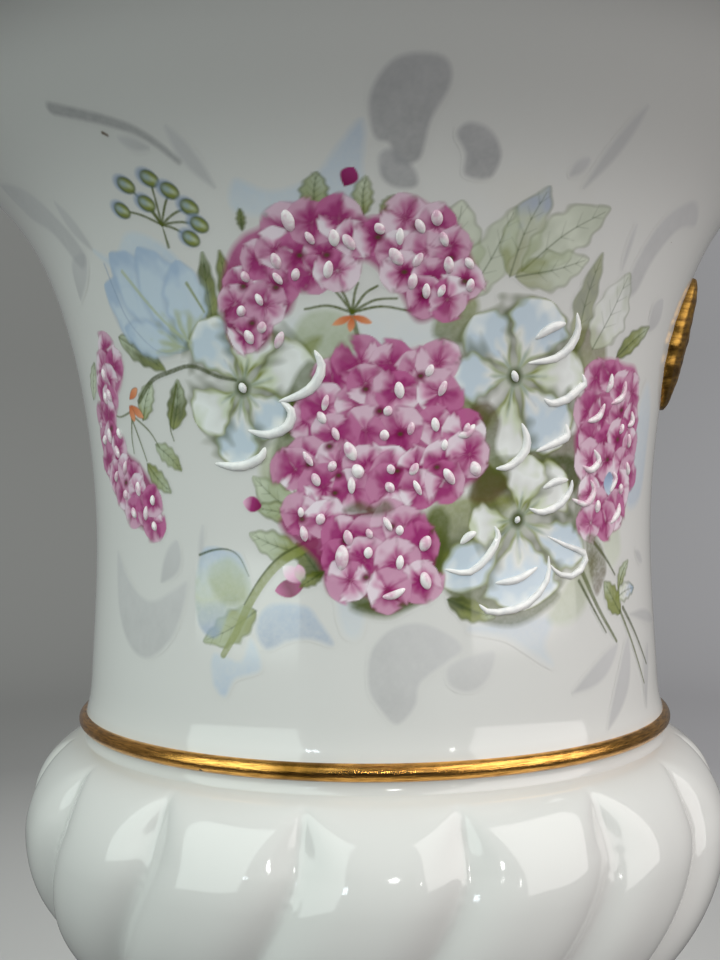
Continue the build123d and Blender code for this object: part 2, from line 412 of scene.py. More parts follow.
def wash(outline, colours, strength=0.8, soft=1.0, stipple=0.5, lean=90.0, sharp=False):
    """A field of colour inside a closed outline. Its colours run along the direction lean, in degrees."""
    line = np.array(outline, float) if sharp else curve_points(outline, 6, closed=True)
    low, high = line.min(axis=0) - soft, line.max(axis=0) + soft
    area = Patch(low[0], high[0], low[1], high[1])
    away = np.full_like(area.s, 1e9)
    inside = np.zeros(area.s.shape, bool)
    for a, b in zip(line, np.roll(line, -1, axis=0)):
        d = b - a
        t = np.clip(((area.s - a[0]) * d[0] + (area.h - a[1]) * d[1]) / max(d @ d, 1e-9), 0, 1)
        away = np.minimum(away, np.hypot(area.s - a[0] - t * d[0], area.h - a[1] - t * d[1]))
        if a[1] != b[1]:
            cross = (area.h > a[1]) != (area.h > b[1])
            inside ^= cross & (area.s < a[0] + (area.h - a[1]) * d[0] / d[1])
    signed = np.where(inside, away, -away)
    cover = np.clip(signed / soft + 0.5, 0, 1)
    cover = cover * strength * (1 - stipple * (0.55 * area.fine + 0.45 * area.cloud))
    ux, uy = cos(radians(lean)), sin(radians(lean))
    reach = area.s * ux + area.h * uy
    span = line @ np.array([ux, uy])
    tone = (reach - span.min()) / (span.max() - span.min()) + 0.35 * (area.cloud - 0.5)
    area.lay(cover, blend(colours, tone))


def spot(x, y, wide, high, colour, turn=0.0, strength=1.0, soft=0.35):
    """A soft oval dab."""
    reach = max(wide, high) + soft
    area = Patch(x - reach, x + reach, y - reach, y + reach)
    c, d = cos(radians(turn)), sin(radians(turn))
    u = ((area.s - x) * c + (area.h - y) * d) / (wide / 2)
    v = ((area.h - y) * c - (area.s - x) * d) / (high / 2)
    inside = (1 - np.hypot(u, v)) * min(wide, high) / 2
    area.lay(np.clip(inside / soft + 0.5, 0, 1) * strength, colour)


def leaf(base, tip, width, colours, rib=OUTLINE, jag=0.09, bow=0.0, widest=0.45, strength=0.9):
    """A leaf with its midrib and side veins."""
    petal(base, tip, width, colours, widest, rim=MOSS, rim_width=0.7, veins=0.25, soft=0.6, strength=strength,
          jag=jag, bow=bow, clouded=0.8)
    b, t = np.array(base, float), np.array(tip, float)
    d = t - b
    side = np.array([-d[1], d[0]]) / hypot(*d)
    middle = [b, b + d * 0.5 + side * bow, b + d * 0.93]
    stroke(middle, 0.35, rib, strength=0.6)
    for k in range(1, 5):
        root = b + d * (0.12 + 0.17 * k) + side * bow * sin(pi * (0.12 + 0.17 * k))
        for way in (-1, 1):
            end = root + d / hypot(*d) * width * 0.22 + side * way * width * 0.3 * (1 - 0.12 * k)
            stroke([root, end], 0.22, rib, strength=0.35)


random_turn = np.random.RandomState(20)


def floret(x, y, radius=3.7):
    """A small flower: ragged petals that run from magenta to white, each on its own shadow."""
    count = random_turn.randint(4, 6)
    start = random_turn.uniform(0, 360)
    for k in range(count):
        angle = radians(start + 360 / count * k + random_turn.uniform(-16, 16))
        length = radius * random_turn.uniform(0.8, 1.2)
        width = radius * random_turn.uniform(1.1, 1.5)
        bow = random_turn.uniform(-0.35, 0.35)
        base = (x + 0.2 * cos(angle), y + 0.2 * sin(angle))
        tip = (x + length * cos(angle), y + length * sin(angle))
        light = random_turn.uniform(0, 1) ** 1.3
        outer = PINK * (1 - light) + BLOSSOM * light
        middle = MAGENTA * (1 - 0.75 * light) + BLUSH * 0.75 * light
        petal(base, tip, width + 0.7, [DEEP, DEEP, MAGENTA], 0.62, soft=1.1, strength=0.5, bow=bow)
        petal(base, tip, width, [MAGENTA, middle, outer, outer], 0.62, soft=0.75, strength=0.9,
              veins=0.22, jag=0.09, bow=bow, clouded=0.9)
    spot(x, y, 1.2, 1.0, DEEP, strength=0.55, soft=0.7)


def cluster(outline, centres, throats, radius=3.7):
    """A head of florets: a dark ground, the florets on it, and their dark throats with a green point."""
    wash(outline, [DEEP, MAGENTA, PINK], strength=0.95, soft=1.2, stipple=0.1)
    for x, y in centres:
        floret(x, y, radius)
    for x, y in throats:
        spot(x, y, 1.9, 1.5, DEEP, turn=30, strength=0.9, soft=0.7)
        spot(x, y, 0.8, 0.6, FOREST, strength=0.8)


# ---------------------------------------------------------------- bouquet
def paint_shadow_leaves():
    """The grey leaves behind the bouquet, all round it."""
    grey = [SHADE * 0.92, SHADE * 1.12, SHADE * 1.3]
    for base, tip, width, bow in [
        ((31.5, 98.5), (36.0, 111.0), 2.2, -0.6),
        ((28.5, 100.0), (31.0, 103.0), 2.0, 0.0),
        ((-22.0, 98.0), (-26.5, 107.5), 2.4, 0.4),
        ((-30.0, 104.8), (-34.5, 107.0), 1.8, 0.2),
        ((-60.5, 84.5), (-53.0, 92.0), 5.0, 1.0),
        ((-50.0, 92.0), (-55.0, 101.5), 2.6, 0.6),
        ((44.5, 87.0), (44.8, 95.0), 1.0, 0.0),
        ((58.0, 77.5), (61.0, 84.0), 5.0, 0.0),
        ((-43.0, 31.0), (-38.5, 39.0), 4.4, -0.8),
        ((-32.8, 32.0), (-32.2, 42.0), 1.3, 0.2),
        ((38.0, 11.0), (52.5, 18.5), 3.6, -0.8),
        ((47.0, 3.2), (57.0, 19.5), 4.6, -1.6),
        ((64.0, 4.5), (68.0, 17.0), 3.0, 0.6),
        ((58.0, 23.5), (76.0, 20.5), 2.4, 0.4),
        ((62.0, 35.5), (67.0, 33.0), 2.0, 0.0),
    ]:
        petal(base, tip, width, grey, 0.55, soft=0.9, strength=0.5, bow=bow)
    for outline in [
        [(0.5, 104), (0, 109), (3, 113.3), (8, 113.5), (9.3, 110.5), (7.5, 106), (6.5, 101), (3.5, 100.5),
         (2.5, 103)],
        [(1.2, 101.5), (3, 102.2), (6, 99.5), (6.3, 97.2), (3.5, 97), (1.5, 98.5)],
        [(11, 104.5), (12.5, 106), (15.5, 105), (17.5, 102), (16.5, 98.8), (13, 99), (12.5, 102)],
    ]:
        wash(outline, [SHADE * 0.7, SHADE * 0.85, SHADE], 0.85, 0.8, 0.35)
    stroke([(-42, 112.5), (-34, 109), (-30, 106.5), (-26.5, 102.5)], 1.7, SHADE * 0.7, taper=0.5,
           strength=0.75, soft=0.7)
    stroke([(-36.3, 108), (-35.8, 107.6)], 0.5, BROWN, taper=0.9)
    wash([(-70, 108), (-62, 105), (-57, 99), (-53, 92), (-56, 90), (-61, 97), (-68, 102)], grey, 0.6, 1.0,
           0.3)
    wash([(46.5, 83), (48.5, 91), (52, 97.5), (58, 101), (63, 98), (57, 96), (52.5, 90), (50, 84)], grey,
         0.6, 1.0, 0.3)
    wash(
        [(-59, 36), (-58, 26), (-53, 19), (-46, 17), (-39, 22), (-36, 31), (-39, 30), (-45, 27.5),
         (-50, 28.5), (-55, 32)],
        grey, 0.5, 1.0, 0.3,
    )
    wash(
        [(-0.5, 20), (3, 24), (8, 25), (13, 23), (15.5, 20.5), (13, 18.5), (8, 15), (7, 11), (4, 8),
         (1.5, 10), (-0.8, 14)],
        grey, 0.55, 0.8, 0.35, lean=35,
    )
    wash([(13, 14.5), (13, 17.5), (17, 19), (21.5, 19.5), (20, 15), (16.5, 13)], grey, 0.42, 0.8, 0.35)


def paint_blue_washes():
    wash([(-21, 24), (-18.5, 28), (-12, 28), (-9.5, 25.5), (-7, 21.5), (-11, 22.5), (-15, 22), (-19, 20.5)],
         [SLATE, SKY], 0.75, 1.0, 0.6)
    wash([(17, 24), (33, 25), (32, 20), (33.5, 16.5), (29, 19), (24, 22)], [PALE_BLUE, SKY], 0.5, 1.6, 0.5)
    wash([(-6, 29), (-2, 27.5), (-2.5, 23), (-5, 23.5)], [PALE_BLUE, SKY], 0.4, 1.4, 0.5)
    wash([(57, 47), (60, 44), (66, 48), (67, 62), (62, 68), (59, 60)], [SKY, PALE_BLUE], 0.6, 2.0, 0.4)
    wash([(-19, 94), (-19, 99), (-14, 97), (-8, 98.5), (-4, 103), (-1, 106), (-1, 101), (-3, 94)],
         [PALE_BLUE, SKY], 0.75, 1.2, 0.5)
    wash([(-12, 79), (-13, 72), (-4, 70), (6, 72), (12, 74), (11, 79)], [PALE_BLUE, PAPER], 0.6, 2.0, 0.4)
    wash([(-29.5, 19), (-24, 18), (-22, 22), (-20, 17), (-25, 15), (-27, 11.8), (-29.5, 14)],
         [SKY, PALE_BLUE], 0.7, 1.0, 0.5)


def paint_ground():
    """The dark greens and browns between the flowers."""
    wash([(-16, 60), (-12, 76), (-5, 78), (-2, 72), (-10, 66), (-12, 58)], [OLIVE, SAGE], 0.85, 1.4, 0.35)
    wash([(13, 62), (18, 63), (24, 57), (27, 54), (26, 46), (18, 45), (17, 52)], [BROWN, MOSS, OLIVE], 0.9,
           1.2, 0.3)
    wash([(27, 54), (33, 56), (40, 58), (41, 54), (36, 52), (29, 52)], [MOSS, BROWN], 0.85, 1.0, 0.3)
    wash([(35, 69), (37, 76), (43, 76), (45, 70), (40, 67)], [OLIVE, BROWN], 0.8, 1.2, 0.3)
    wash([(10, 74), (12, 80), (17, 80), (16, 73)], [MOSS, OLIVE], 0.85, 1.2, 0.3)
    wash([(-4, 28), (2, 26), (7, 28), (12, 31), (14, 36), (11, 42), (5, 32)], [MOSS, FOREST, OLIVE], 0.9,
           1.4, 0.3)
    wash([(12, 34), (22, 42), (27, 46), (22, 47), (13, 46), (9, 43)], [FOREST, OLIVE], 0.85, 1.4, 0.3)
    wash([(-14, 47), (-20, 51), (-17, 57), (-12, 60)], [OLIVE, PALE_GREEN], 0.7, 1.4, 0.3)
    wash([(33, 25), (40, 33), (46, 35), (43, 27), (38, 23.5)], [SAGE, OLIVE], 0.6, 1.8, 0.4)
    wash([(48, 39), (53, 42), (55, 36), (51, 33)], [PALE_GREEN, SAGE], 0.6, 1.6, 0.4)
    wash([(17, 62), (20, 58), (25, 53), (31, 53), (37, 54), (41, 51), (39, 47), (30, 50), (22, 47), (18, 49)],
         [BROWN, FOREST, BROWN], 0.95, 1.0, 0.25)
    wash([(10, 36), (13, 30), (18, 25.5), (25, 23.8), (31, 25.5), (36, 29), (30, 31), (20, 31), (14, 37)],
         [FOREST, MOSS, OLIVE], 0.85, 1.2, 0.3)
    wash([(-8, 74), (-12, 66), (-10, 58), (-14, 53), (-18, 50), (-16, 60), (-15, 70)],
         [FOREST, MOSS, OLIVE], 0.8, 1.2, 0.3)


def paint_leaves():
    for base, tip, width, colours, bow in [
        ((14, 81), (13, 95.5), 9.0, [OLIVE, SAGE, PALE_GREEN], 0.8),
        ((15, 80), (21.5, 95), 7.0, [SAGE, SAGE, PALE_GREEN], -0.6),
        ((22, 84), (26, 98.5), 7.0, [OLIVE, SAGE, SLATE], 0.5),
        ((24, 85), (38, 96.5), 8.0, [SAGE, PALE_GREEN, SAGE], 0.8),
        ((23, 84), (36.5, 88), 6.5, [OLIVE, SAGE, PALE_GREEN], -0.4),
        ((37, 72), (39, 89.5), 5.0, [OLIVE, MOSS, OLIVE], 0.5),
        ((41, 73), (47, 87), 9.0, [PALE_GREEN, PAPER, SAGE], -0.5),
        ((48, 72), (58, 78.5), 3.6, [MOSS, OLIVE, SAGE], 0.3),
        ((-49.5, 76.5), (-38, 69.5), 4.6, [SAGE, MOSS, OLIVE], 0.3),
        ((-46, 61), (-42, 68), 4.2, [OLIVE, SAGE, PALE_GREEN], 0.4),
        ((-38, 59), (-35.5, 68), 4.6, [OLIVE, MOSS, SAGE], -0.4),
        ((-66, 66), (-61, 73), 3.6, [PALE_GREEN, SAGE], 0.3),
        ((-43, 56.5), (-36.5, 51.5), 3.6, [SAGE, OLIVE], 0.3),
        ((-46, 53), (-39.5, 47.5), 3.4, [OLIVE, SAGE], -0.3),
        ((-26.5, 76), (-26.5, 89), 3.6, [OLIVE, MOSS, SAGE], 0.3),
        ((-23.5, 77), (-23.5, 89), 3.2, [MOSS, OLIVE], -0.2),
        ((-8, 94), (-7.2, 99.5), 4.0, [OLIVE, SAGE], 0.2),
        ((-19.2, 91.5), (-19.0, 95), 1.6, [MOSS, OLIVE], 0.0),
        ((-1, 93), (-0.5, 98.8), 3.0, [OLIVE, PALE_GREEN], 0.3),
        ((1.5, 93), (3.6, 96), 2.0, [OLIVE, SAGE], 0.0),
        ((-12, 43), (-21.5, 50.5), 5.6, [OLIVE, SAGE, PALE_GREEN], 0.4),
        ((-12, 43), (-21.5, 45), 3.6, [OLIVE, SAGE], -0.3),
        ((-12, 37), (-22.5, 40.5), 5.0, [OLIVE, SAGE, PALE_GREEN], 0.4),
        ((-9, 33), (-13.5, 39), 4.4, [FOREST, MOSS, OLIVE], 0.0),
        ((-21, 27), (-32, 21), 6.0, [OLIVE, SAGE], 0.5),
        ((53.5, 28.5), (58.5, 34), 2.8, [OLIVE, SAGE, PALE_GREEN], 0.6),
        ((52.5, 27), (61, 28.5), 3.6, [PALE_GREEN, PAPER, SKY], 0.4),
        ((54, 24), (48.5, 30.5), 5.0, [OLIVE, OLIVE, SAGE], 0.0),
        ((13, 29), (22, 25.5), 4.0, [FOREST, OLIVE, SAGE], -0.3),
    ]:
        faint = tip[0] > 10 and tip[1] > 85  # the upper right leaves are the palest
        leaf(base, tip, width, colours, bow=bow, strength=0.6 if faint else 0.9)
    wash([(-32.5, 37), (-30, 38), (-27, 37.4), (-24, 36.5), (-22, 31), (-22.5, 26), (-26, 27), (-29, 22),
          (-33, 24), (-34, 31)], [SLATE, SAGE, SKY], 0.85, 0.8, 0.45)
    wash([(-31, 34), (-27, 36), (-24, 34), (-23, 29), (-27, 28), (-30, 30)], [OLIVE, SAGE], 0.55, 1.2, 0.4)
    stroke([(-33, 36.5), (-30, 37.4), (-27, 37.6), (-24.5, 36.4), (-22.5, 33)], 0.5, OUTLINE)


def paint_stems():
    for points, width, colour in [
        ([(-10.5, 39), (-16, 36), (-19.5, 32.5), (-22.5, 28), (-25, 23), (-27.5, 19)], 2.0, OLIVE),
        ([(-11, 39.4), (-16.4, 36.6), (-20.2, 32.8), (-23.4, 28)], 0.5, FOREST),
        ([(-46.5, 64.5), (-42, 68), (-37, 69.3), (-32, 70), (-27, 68), (-23.5, 67.2)], 1.0, FOREST),
        ([(-36, 67), (-38.5, 60), (-38, 57)], 0.5, MOSS),
        ([(-49.5, 61.5), (-50.2, 58), (-50, 55)], 0.5, MOSS),
        ([(-49.5, 61.5), (-47.5, 57), (-46, 53.5)], 0.5, MOSS),
        ([(-49, 62), (-44.5, 59), (-42, 56)], 0.5, MOSS),
        ([(-48.5, 63), (-54, 62), (-58, 64)], 0.5, MOSS),
        ([(-3, 77.5), (-2.2, 74), (-1, 70.5)], 0.9, MOSS),
        ([(-30.5, 84), (-28, 79)], 0.6, OLIVE),
        ([(42, 32.5), (46.5, 25.5), (52, 19)], 1.1, MOSS),
        ([(41, 31), (45, 25.5), (48.5, 21)], 0.7, FOREST),
        ([(43.5, 39.5), (49, 35), (52.5, 31.5)], 0.8, FOREST),
        ([(54, 24.5), (58.5, 18), (63.8, 9.5)], 0.8, MOSS),
        ([(55.2, 25), (60, 20), (66, 13)], 0.9, FOREST),
        ([(-44, 87.5), (-40, 82), (-36, 77.5), (-31.5, 74)], 0.7, SAGE),
    ]:
        stroke(points, width, colour, taper=0.6, strength=0.9)
    for end in [(-10.5, 78.5), (-8, 83), (-5.6, 82.4), (-2, 82.5), (1, 82), (4, 80), (6, 78)]:
        middle = ((end[0] - 3) / 2, (end[1] + 78.6) / 2 + 0.4)
        stroke([(-3, 77.8), middle, end], 0.5, MOSS, taper=0.8)
    for base, tip in [((-3, 77.2), (-6.2, 75.8)), ((-3, 77.2), (0.2, 76)), ((-3, 77), (-3.4, 74.6))]:
        petal(base, tip, 1.2, [ORANGE, paint(214, 150, 110)], 0.5)
    for base, tip in [((-49.5, 65), (-46.4, 67)), ((-49.5, 64), (-45.6, 61.4)), ((-49.8, 64), (-48.6, 60.8))]:
        petal(base, tip, 1.7, [ORANGE, paint(214, 150, 110)], 0.55, rim=BROWN, rim_width=0.2)


def paint_bud_spray():
    """The small green buds at the upper left, each on its own stem."""
    node = (-32.7, 93.8)
    stroke([(-32.5, 90.2), node], 0.6, MOSS)
    for x, y in [(-39.5, 97), (-36.8, 100.5), (-32.2, 100.8), (-34.3, 97.3), (-29.5, 98.6), (-27, 95.8),
                 (-26, 93), (-28, 91)]:
        stroke([node, ((x + node[0]) / 2, (y + node[1]) / 2 + 0.4), (x, y)], 0.45, MOSS, taper=0.9)
        spot(x - 0.5, y + 0.3, 3.5, 2.8, SLATE, turn=-35, strength=0.75, soft=0.6)
        spot(x, y, 3.3, 2.5, OUTLINE, turn=-35, strength=0.9)
        spot(x + 0.05, y, 2.7, 1.9, OLIVE, turn=-35, soft=0.5)
        spot(x - 0.4, y + 0.3, 1.5, 0.9, SKY, turn=-35, strength=0.6, soft=0.6)
        spot(x + 0.5, y - 0.2, 1.1, 0.6, PALE_GREEN, turn=-35, strength=0.6, soft=0.5)


def paint_bell_buds():
    """The pale blue bell flowers at the left."""
    wash([(-50, 92), (-45, 90), (-40, 93.5), (-34, 91), (-30, 86), (-31, 84), (-37, 82), (-42, 84),
          (-46, 88)],
         [SKY, PALE_BLUE], 0.85, 1.2, 0.45)
    blue = [SAGE, PALE_BLUE, PALE_BLUE, SKY]
    for tip, width, bow in [((-50, 86), 11, 0.5), ((-46, 91), 10, 0.3), ((-39, 91), 9, 0.0),
                            ((-31.5, 88), 8.5, -0.4), ((-47, 78), 6, 0.6)]:
        petal((-32, 73), tip, width + 1, [MOSS, SLATE, SLATE], 0.55, soft=1.2, strength=0.35, bow=bow)
        petal((-32, 73), tip, width, blue, 0.58, rim=SKY, rim_width=0.8, veins=0.3, soft=0.7, strength=0.85,
              jag=0.07, bow=bow, clouded=0.6)
    stroke([(-48.2, 89.4), (-47.5, 85), (-46, 80), (-43, 76), (-39, 73), (-34, 72.4)], 0.4, SLATE,
             strength=0.6)


def paint_big_flowers():
    """Three open flowers, pale blue and white with green edges."""
    blue_white = [SAGE, PAPER, PALE_BLUE, PALE_BLUE, PETAL]
    green_white = [OLIVE, PALE_GREEN, PAPER, PETAL, PALE_GREEN]
    for centre, petals in [
        ((-22.3, 65.8), [((-9.0, 69.5), 12, green_white), ((-15.5, 58.0), 10, blue_white),
                         ((-25.0, 52.0), 9, blue_white), ((-32.5, 60.0), 10, green_white),
                         ((-29.5, 77.5), 11, blue_white), ((-19.0, 77.0), 9, green_white)]),
        ((24.8, 67.5), [((16.5, 77.5), 10, blue_white), ((30.5, 80.5), 13, blue_white),
                        ((40.0, 68.0), 10, green_white), ((36.0, 55.5), 12, blue_white),
                        ((22.5, 51.0), 10, green_white), ((13.5, 67.0), 9, blue_white)]),
        ((26.6, 42.5), [((37.5, 50.5), 11, green_white), ((29.0, 54.0), 10, green_white),
                        ((42.5, 35.5), 9, blue_white), ((28.0, 26.5), 16, blue_white),
                        ((12.5, 31.0), 9, blue_white), ((17.0, 41.5), 8, green_white)]),
    ]:
        x, y = centre
        for (tx, ty), width, colours in petals:
            d = hypot(tx - x, ty - y)
            root = (x + (tx - x) / d * 0.6, y + (ty - y) / d * 0.6)
            petal(root, (tx, ty), width + 2.6, [FOREST, FOREST, MOSS], 0.68, soft=2.6, strength=0.6, jag=0.12)
            petal(root, (tx, ty), width - 0.6, colours, 0.7, rim=OLIVE, rim_width=1.1, veins=0.22, soft=0.6,
                  strength=0.95, jag=0.07, clouded=0.45)
            reach = ((x + 0.42 * (tx - x)), (y + 0.42 * (ty - y)))
            stroke([root, reach], 0.9, SLATE, taper=0.1, strength=0.45, soft=0.6)
        spot(x, y, 5.0, 4.0, SAGE, soft=2.6, strength=0.6)
        spot(x, y, 2.8, 3.0, FOREST, soft=1.0, strength=0.9)


def paint_gaps():
    """The darkest places, where the flowers leave a gap."""
    wash([(17, 61), (20, 63), (22.5, 60), (22, 55), (25, 50.5), (22, 46), (17, 46.5), (20, 53)],
         [BROWN, MOSS, BROWN], 0.85, 1.0, 0.25)
    wash([(11, 33), (13, 38), (13.5, 43), (11, 45), (9, 41), (9.5, 35)], [FOREST, MOSS], 0.85, 1.1, 0.25)
    wash([(-15, 57), (-11, 60), (-11.5, 64), (-8, 68), (-10.5, 70), (-14, 65)], [FOREST, MOSS], 0.8, 1.0,
           0.25)
    wash([(-4, 28.5), (1, 26.8), (6, 27.6), (9.5, 29.5), (4, 29.4), (-2, 30.5)], [FOREST, MOSS], 0.85, 1.0,
           0.25)
    wash([(37, 52), (41, 53), (41.5, 48), (42, 43), (39.5, 40), (39.5, 46)], [MOSS, FOREST], 0.75, 1.0, 0.3)


def paint_clusters():
    cluster(
        [(-23.5, 73), (-24.5, 80), (-22.5, 87), (-19.5, 90.5), (-16, 92), (-12, 95), (-8, 94), (-5, 95.5),
         (-2, 93), (0, 92), (5, 95.3), (9, 94), (14, 89), (17, 82), (15, 79.8), (11.5, 79.5), (10, 77),
         (7, 76.5), (4, 81.5), (-1, 86), (-4.5, 83), (-10.5, 82.5), (-13, 78), (-16, 77), (-16.5, 74),
         (-19, 72)],
        [(-20.5, 82.7), (-19.5, 76.8), (-15, 82.5), (-17.5, 87), (-22, 80), (-17, 79.5), (-21, 74.5),
         (-12.5, 91.5), (-14.5, 88), (-10.7, 87.3), (-6.7, 87), (-8.5, 92), (-4.5, 92.5), (-9, 84.5),
         (-5, 84.5), (-2.5, 89.5), (1.2, 89.8), (5, 92.5), (9.5, 91.5), (4, 87.5), (8.5, 87.5),
         (12.2, 88.5), (5.1, 84.3), (9.5, 83.5), (14.8, 83), (8.4, 80.6), (12, 80)],
        [(-10.7, 87.1), (-6.6, 87), (-20.3, 82.7), (-19.5, 76.6), (-14.9, 82.2), (6.8, 91.4), (1.1, 89.6),
         (5.1, 84.2), (12.1, 86.5), (14.6, 82.9), (8.3, 80.5)],
        3.4,
    )
    cluster(
        [(-1, 72), (5, 71.5), (11.5, 72), (14, 66), (18, 57), (20.5, 55), (18.5, 50), (12, 46.5), (5, 45),
         (9, 43), (10.5, 37), (9.5, 30.5), (4, 28.5), (-2.5, 30), (-7.5, 30), (-10, 36), (-16.5, 42),
         (-12, 47), (-16.8, 53), (-12, 57.5), (-12.8, 62), (-8.5, 66), (-4, 69)],
        [(-6.5, 66.5), (-2, 69.8), (3, 69.5), (-11, 60), (-9.5, 47), (-8, 62), (-2.5, 62.5), (2.5, 61.5),
         (7.5, 68), (11, 69.5), (-1, 66), (4.5, 65), (11.5, 64.5), (10.8, 59), (5, 58), (-1, 58),
         (-6.5, 58), (16, 57.5), (-11, 53.5), (-6, 52.5), (-1, 52), (3.2, 51.5), (7.5, 51.5), (12.5, 52.5),
         (17, 54), (-13.5, 51.5), (-8.5, 48.5), (-3.5, 48), (3, 48.3), (8, 48), (12.5, 49.5), (-12.6, 43.8),
         (-8.5, 43), (-5, 40), (-0.5, 39.5), (2.8, 42), (5.5, 41.5), (8.5, 38.5), (-6, 36), (-1.5, 36),
         (4.5, 35.5), (8.5, 32.5), (-4, 32.5), (2.5, 30.8)],
        [(4.8, 57.5), (-7.3, 55.5), (-11, 52.4), (-5.8, 50.5), (4.3, 51.2), (11.2, 51.8), (-6.5, 47.5),
         (1.3, 61.4), (-12.4, 43), (-4.8, 39.2), (3.3, 41.7), (-1.2, 33), (8.1, 67.3), (-1, 65.1)],
        3.9,
    )
    wash([(-5, 44.2), (-2.6, 46), (0.2, 45.2), (2.4, 46.2), (3.6, 44.6), (0.6, 43.6)], [FOREST, MOSS], 0.8,
           1.1, 0.3)
    cluster(
        [(40, 62), (41, 69), (45, 71.5), (51, 71), (56, 70), (59, 62), (59.5, 52), (57.5, 46), (55, 41),
         (50, 39.5), (44, 39.5), (42, 43), (42.5, 48), (40, 53), (39, 57)],
        [(43, 68), (47, 68.5), (51, 66), (55.5, 66), (42, 62), (46.5, 61), (51.5, 61), (56.5, 60.5),
         (43.5, 57), (48, 56.5), (52, 57), (57, 56), (43.5, 53), (48.5, 53), (54, 52.5), (57.5, 51),
         (44, 47), (54.5, 47.5), (47, 44), (53, 43.5), (49.5, 41.5), (44.5, 41.5)],
        [(52.3, 62.5), (52, 57), (49, 53.2)],
        3.7,
    )
    petal((50, 51), (50, 46.5), 3.6, [SLATE, SKY, PALE_BLUE], 0.5)
    cluster(
        [(-54.5, 76.5), (-51.5, 74.5), (-49.8, 72), (-51.5, 68), (-56, 63), (-53.5, 56), (-48.5, 53),
         (-44, 48), (-42.8, 44), (-43.5, 40.5), (-49, 41), (-54.5, 43.5), (-60, 48.5), (-63.5, 54),
         (-64, 62), (-61.5, 64), (-61, 70.5), (-59, 73)],
        [(-55, 74.8), (-57.5, 71.5), (-53, 71.5), (-56, 69), (-59, 67.5), (-57, 65.5), (-61.5, 62.5),
         (-58.5, 62.5), (-62, 58), (-59, 58.5), (-56, 56), (-61.5, 54), (-58, 51), (-53.8, 52),
         (-50.8, 50.5), (-55.5, 47.5), (-49.5, 48), (-51.7, 44), (-47.5, 44), (-45, 42), (-45, 46)],
        [(-58, 60), (-54, 49.5)],
        3.2,
    )


def paint_small_buds():
    petal((-3.6, 97.2), (-2.2, 99.9), 2.6, [DEEP, MAGENTA], 0.55)
    petal((-19.8, 45.2), (-23.5, 46), 2.8, [DEEP, MAGENTA, BLUSH], 0.5)
    petal((-12.2, 31.5), (-17.5, 30.5), 3.2, [MAGENTA, DEEP, PINK], 0.5)
    petal((-12.5, 32), (-16, 34.8), 2.6, [MAGENTA, BLUSH, ENAMEL], 0.55)
    petal((-12.5, 32), (-13.2, 35.2), 2.0, [SAGE, BLUSH], 0.55)
    leaf((-8.5, 34), (-13, 31.2), 2.2, [FOREST, OLIVE])
    wash([(43, 38), (45, 39.5), (48, 37), (49.5, 33), (48, 30), (46, 28), (44.5, 31)], [BROWN, MOSS], 0.9,
           0.7, 0.7)


paint_shadow_leaves()
paint_blue_washes()
paint_ground()
paint_leaves()
paint_bell_buds()
paint_big_flowers()
paint_gaps()
paint_stems()
paint_bud_spray()
paint_clusters()
paint_small_buds()


# ---------------------------------------------------------------- materials
def new_material(name):
    """An empty node material with a Principled shader: returns it and a function that adds a node to it."""
    material = bpy.data.materials.new(name)
    material.use_nodes = True
    tree = material.node_tree
    tree.nodes.clear()

    def add(kind, inputs=(), **settings):
        node = tree.nodes.new(kind)
        for key, value in settings.items():
            setattr(node, key, value)
        for key, value in dict(inputs).items():
            if isinstance(value, bpy.types.NodeSocket):
                tree.links.new(value, node.inputs[key])
            else:
                node.inputs[key].default_value = value
        return node

    return material, add


def noise(add, place, scale, detail=3.0, rough=0.5):
    inputs = {"Vector": place, "Scale": scale, "Detail": detail, "Roughness": rough}
    return add("ShaderNodeTexNoise", inputs).outputs["Fac"]


def ramp(add, value, stops):
    """A colour ramp: stops are positions and linear colours."""
    node = add("ShaderNodeValToRGB", {"Fac": value})
    elements = node.color_ramp.elements
    while len(elements) < len(stops):
        elements.new(0.5)
    for element, (position, colour) in zip(elements, stops):
        element.position = position
        element.color = (*colour, 1.0)
    return node.outputs["Color"]


def mix(add, share, first, second):
    node = add("ShaderNodeMix", data_type="RGBA")
    colours = [socket for socket in node.inputs if socket.type == "RGBA"]
    tree = node.id_data
    for socket, value in [(node.inputs[0], share), (colours[0], first), (colours[1], second)]:
        if isinstance(value, bpy.types.NodeSocket):
            tree.links.new(value, socket)
        else:
            socket.default_value = value
    return next(socket for socket in node.outputs if socket.type == "RGBA")


def specks(add, place, scale, size):
    """1 in small round specks that are scattered about, else 0."""
    cells = add("ShaderNodeTexVoronoi", {"Vector": place, "Scale": scale})
    chance = add("ShaderNodeSeparateColor", {"Color": cells.outputs["Color"]})
    few = add("ShaderNodeMath", {0: chance.outputs[0], 1: 0.82}, operation="GREATER_THAN")
    near = add("ShaderNodeMath", {0: cells.outputs["Distance"], 1: size}, operation="LESS_THAN")
    both = add("ShaderNodeMath", {0: few.outputs[0], 1: near.outputs[0]}, operation="MULTIPLY")
    return both.outputs[0]


def glaze_colour(add, place):
    """White porcelain, a little uneven, with a few fired-in specks and faint ochre stains."""
    white = ramp(add, noise(add, place, 14.0), [(0.3, glaze_white * 0.985), (0.7, glaze_white)])
    stain = ramp(add, noise(add, place, 22.0, 5.0), [(0.66, (0, 0, 0)), (0.86, (1, 1, 1))])
    stained = mix(add, stain, white, (0.70, 0.66, 0.54, 1))
    faint = mix(add, 0.35, white, stained)
    return mix(add, specks(add, place, 45.0, 0.011), faint, (0.30, 0.26, 0.20, 1))


